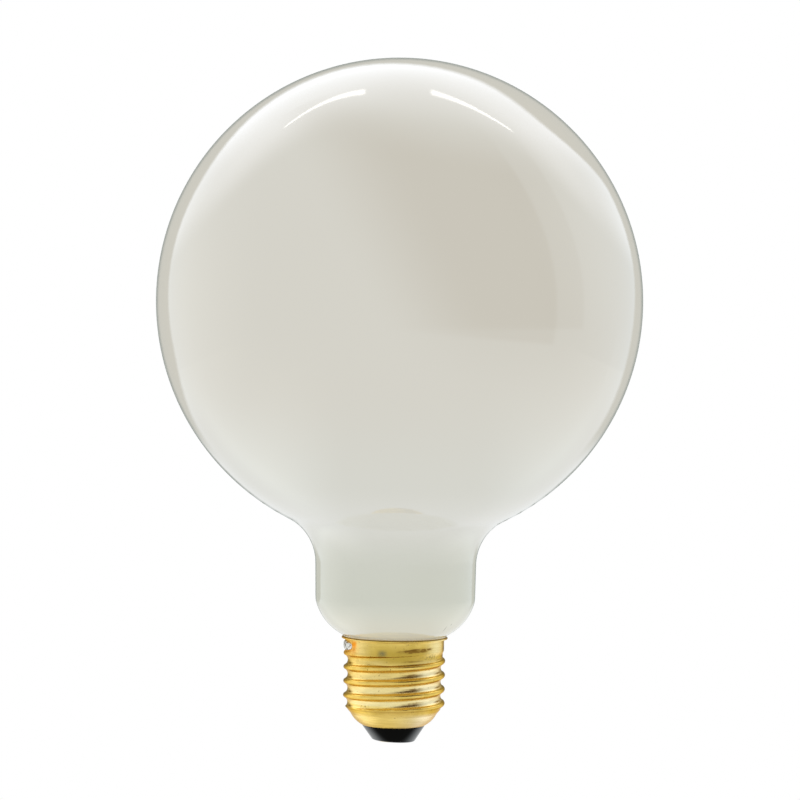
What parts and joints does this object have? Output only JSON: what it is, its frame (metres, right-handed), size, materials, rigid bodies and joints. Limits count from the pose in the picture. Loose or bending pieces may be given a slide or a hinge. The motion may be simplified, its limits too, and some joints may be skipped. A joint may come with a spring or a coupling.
{
  "type": "globe light bulb",
  "caption": "Opal globe light bulb: a large ball of milky glass on a short neck, with a rolled brass screw cap, a black glass insulator and a soldered centre contact.",
  "frame": {"origin": "on the lamp's axis, in the middle of the centre contact's lowest flat", "axes": "+Z along the lamp's axis from the cap to the globe, +X to the right in the picture, -Y towards the viewer"},
  "size_m": [0.125, 0.125, 0.1757],
  "materials": {
    "opal_glass": "opal, glossy",
    "brass": "rolled sheet, lightly tarnished",
    "black_glass": "glossy",
    "solder": "bright, uneven",
    "cement": "dull"
  },
  "bodies": {
    "root": {"glass_bulb": "opal_glass", "screw_cap": "brass", "cap_insulator": "black_glass", "centre_contact": "brass", "contact_solder": "solder", "capping_cement": "cement", "side_solder": "solder"}
  },
  "joints": []
}
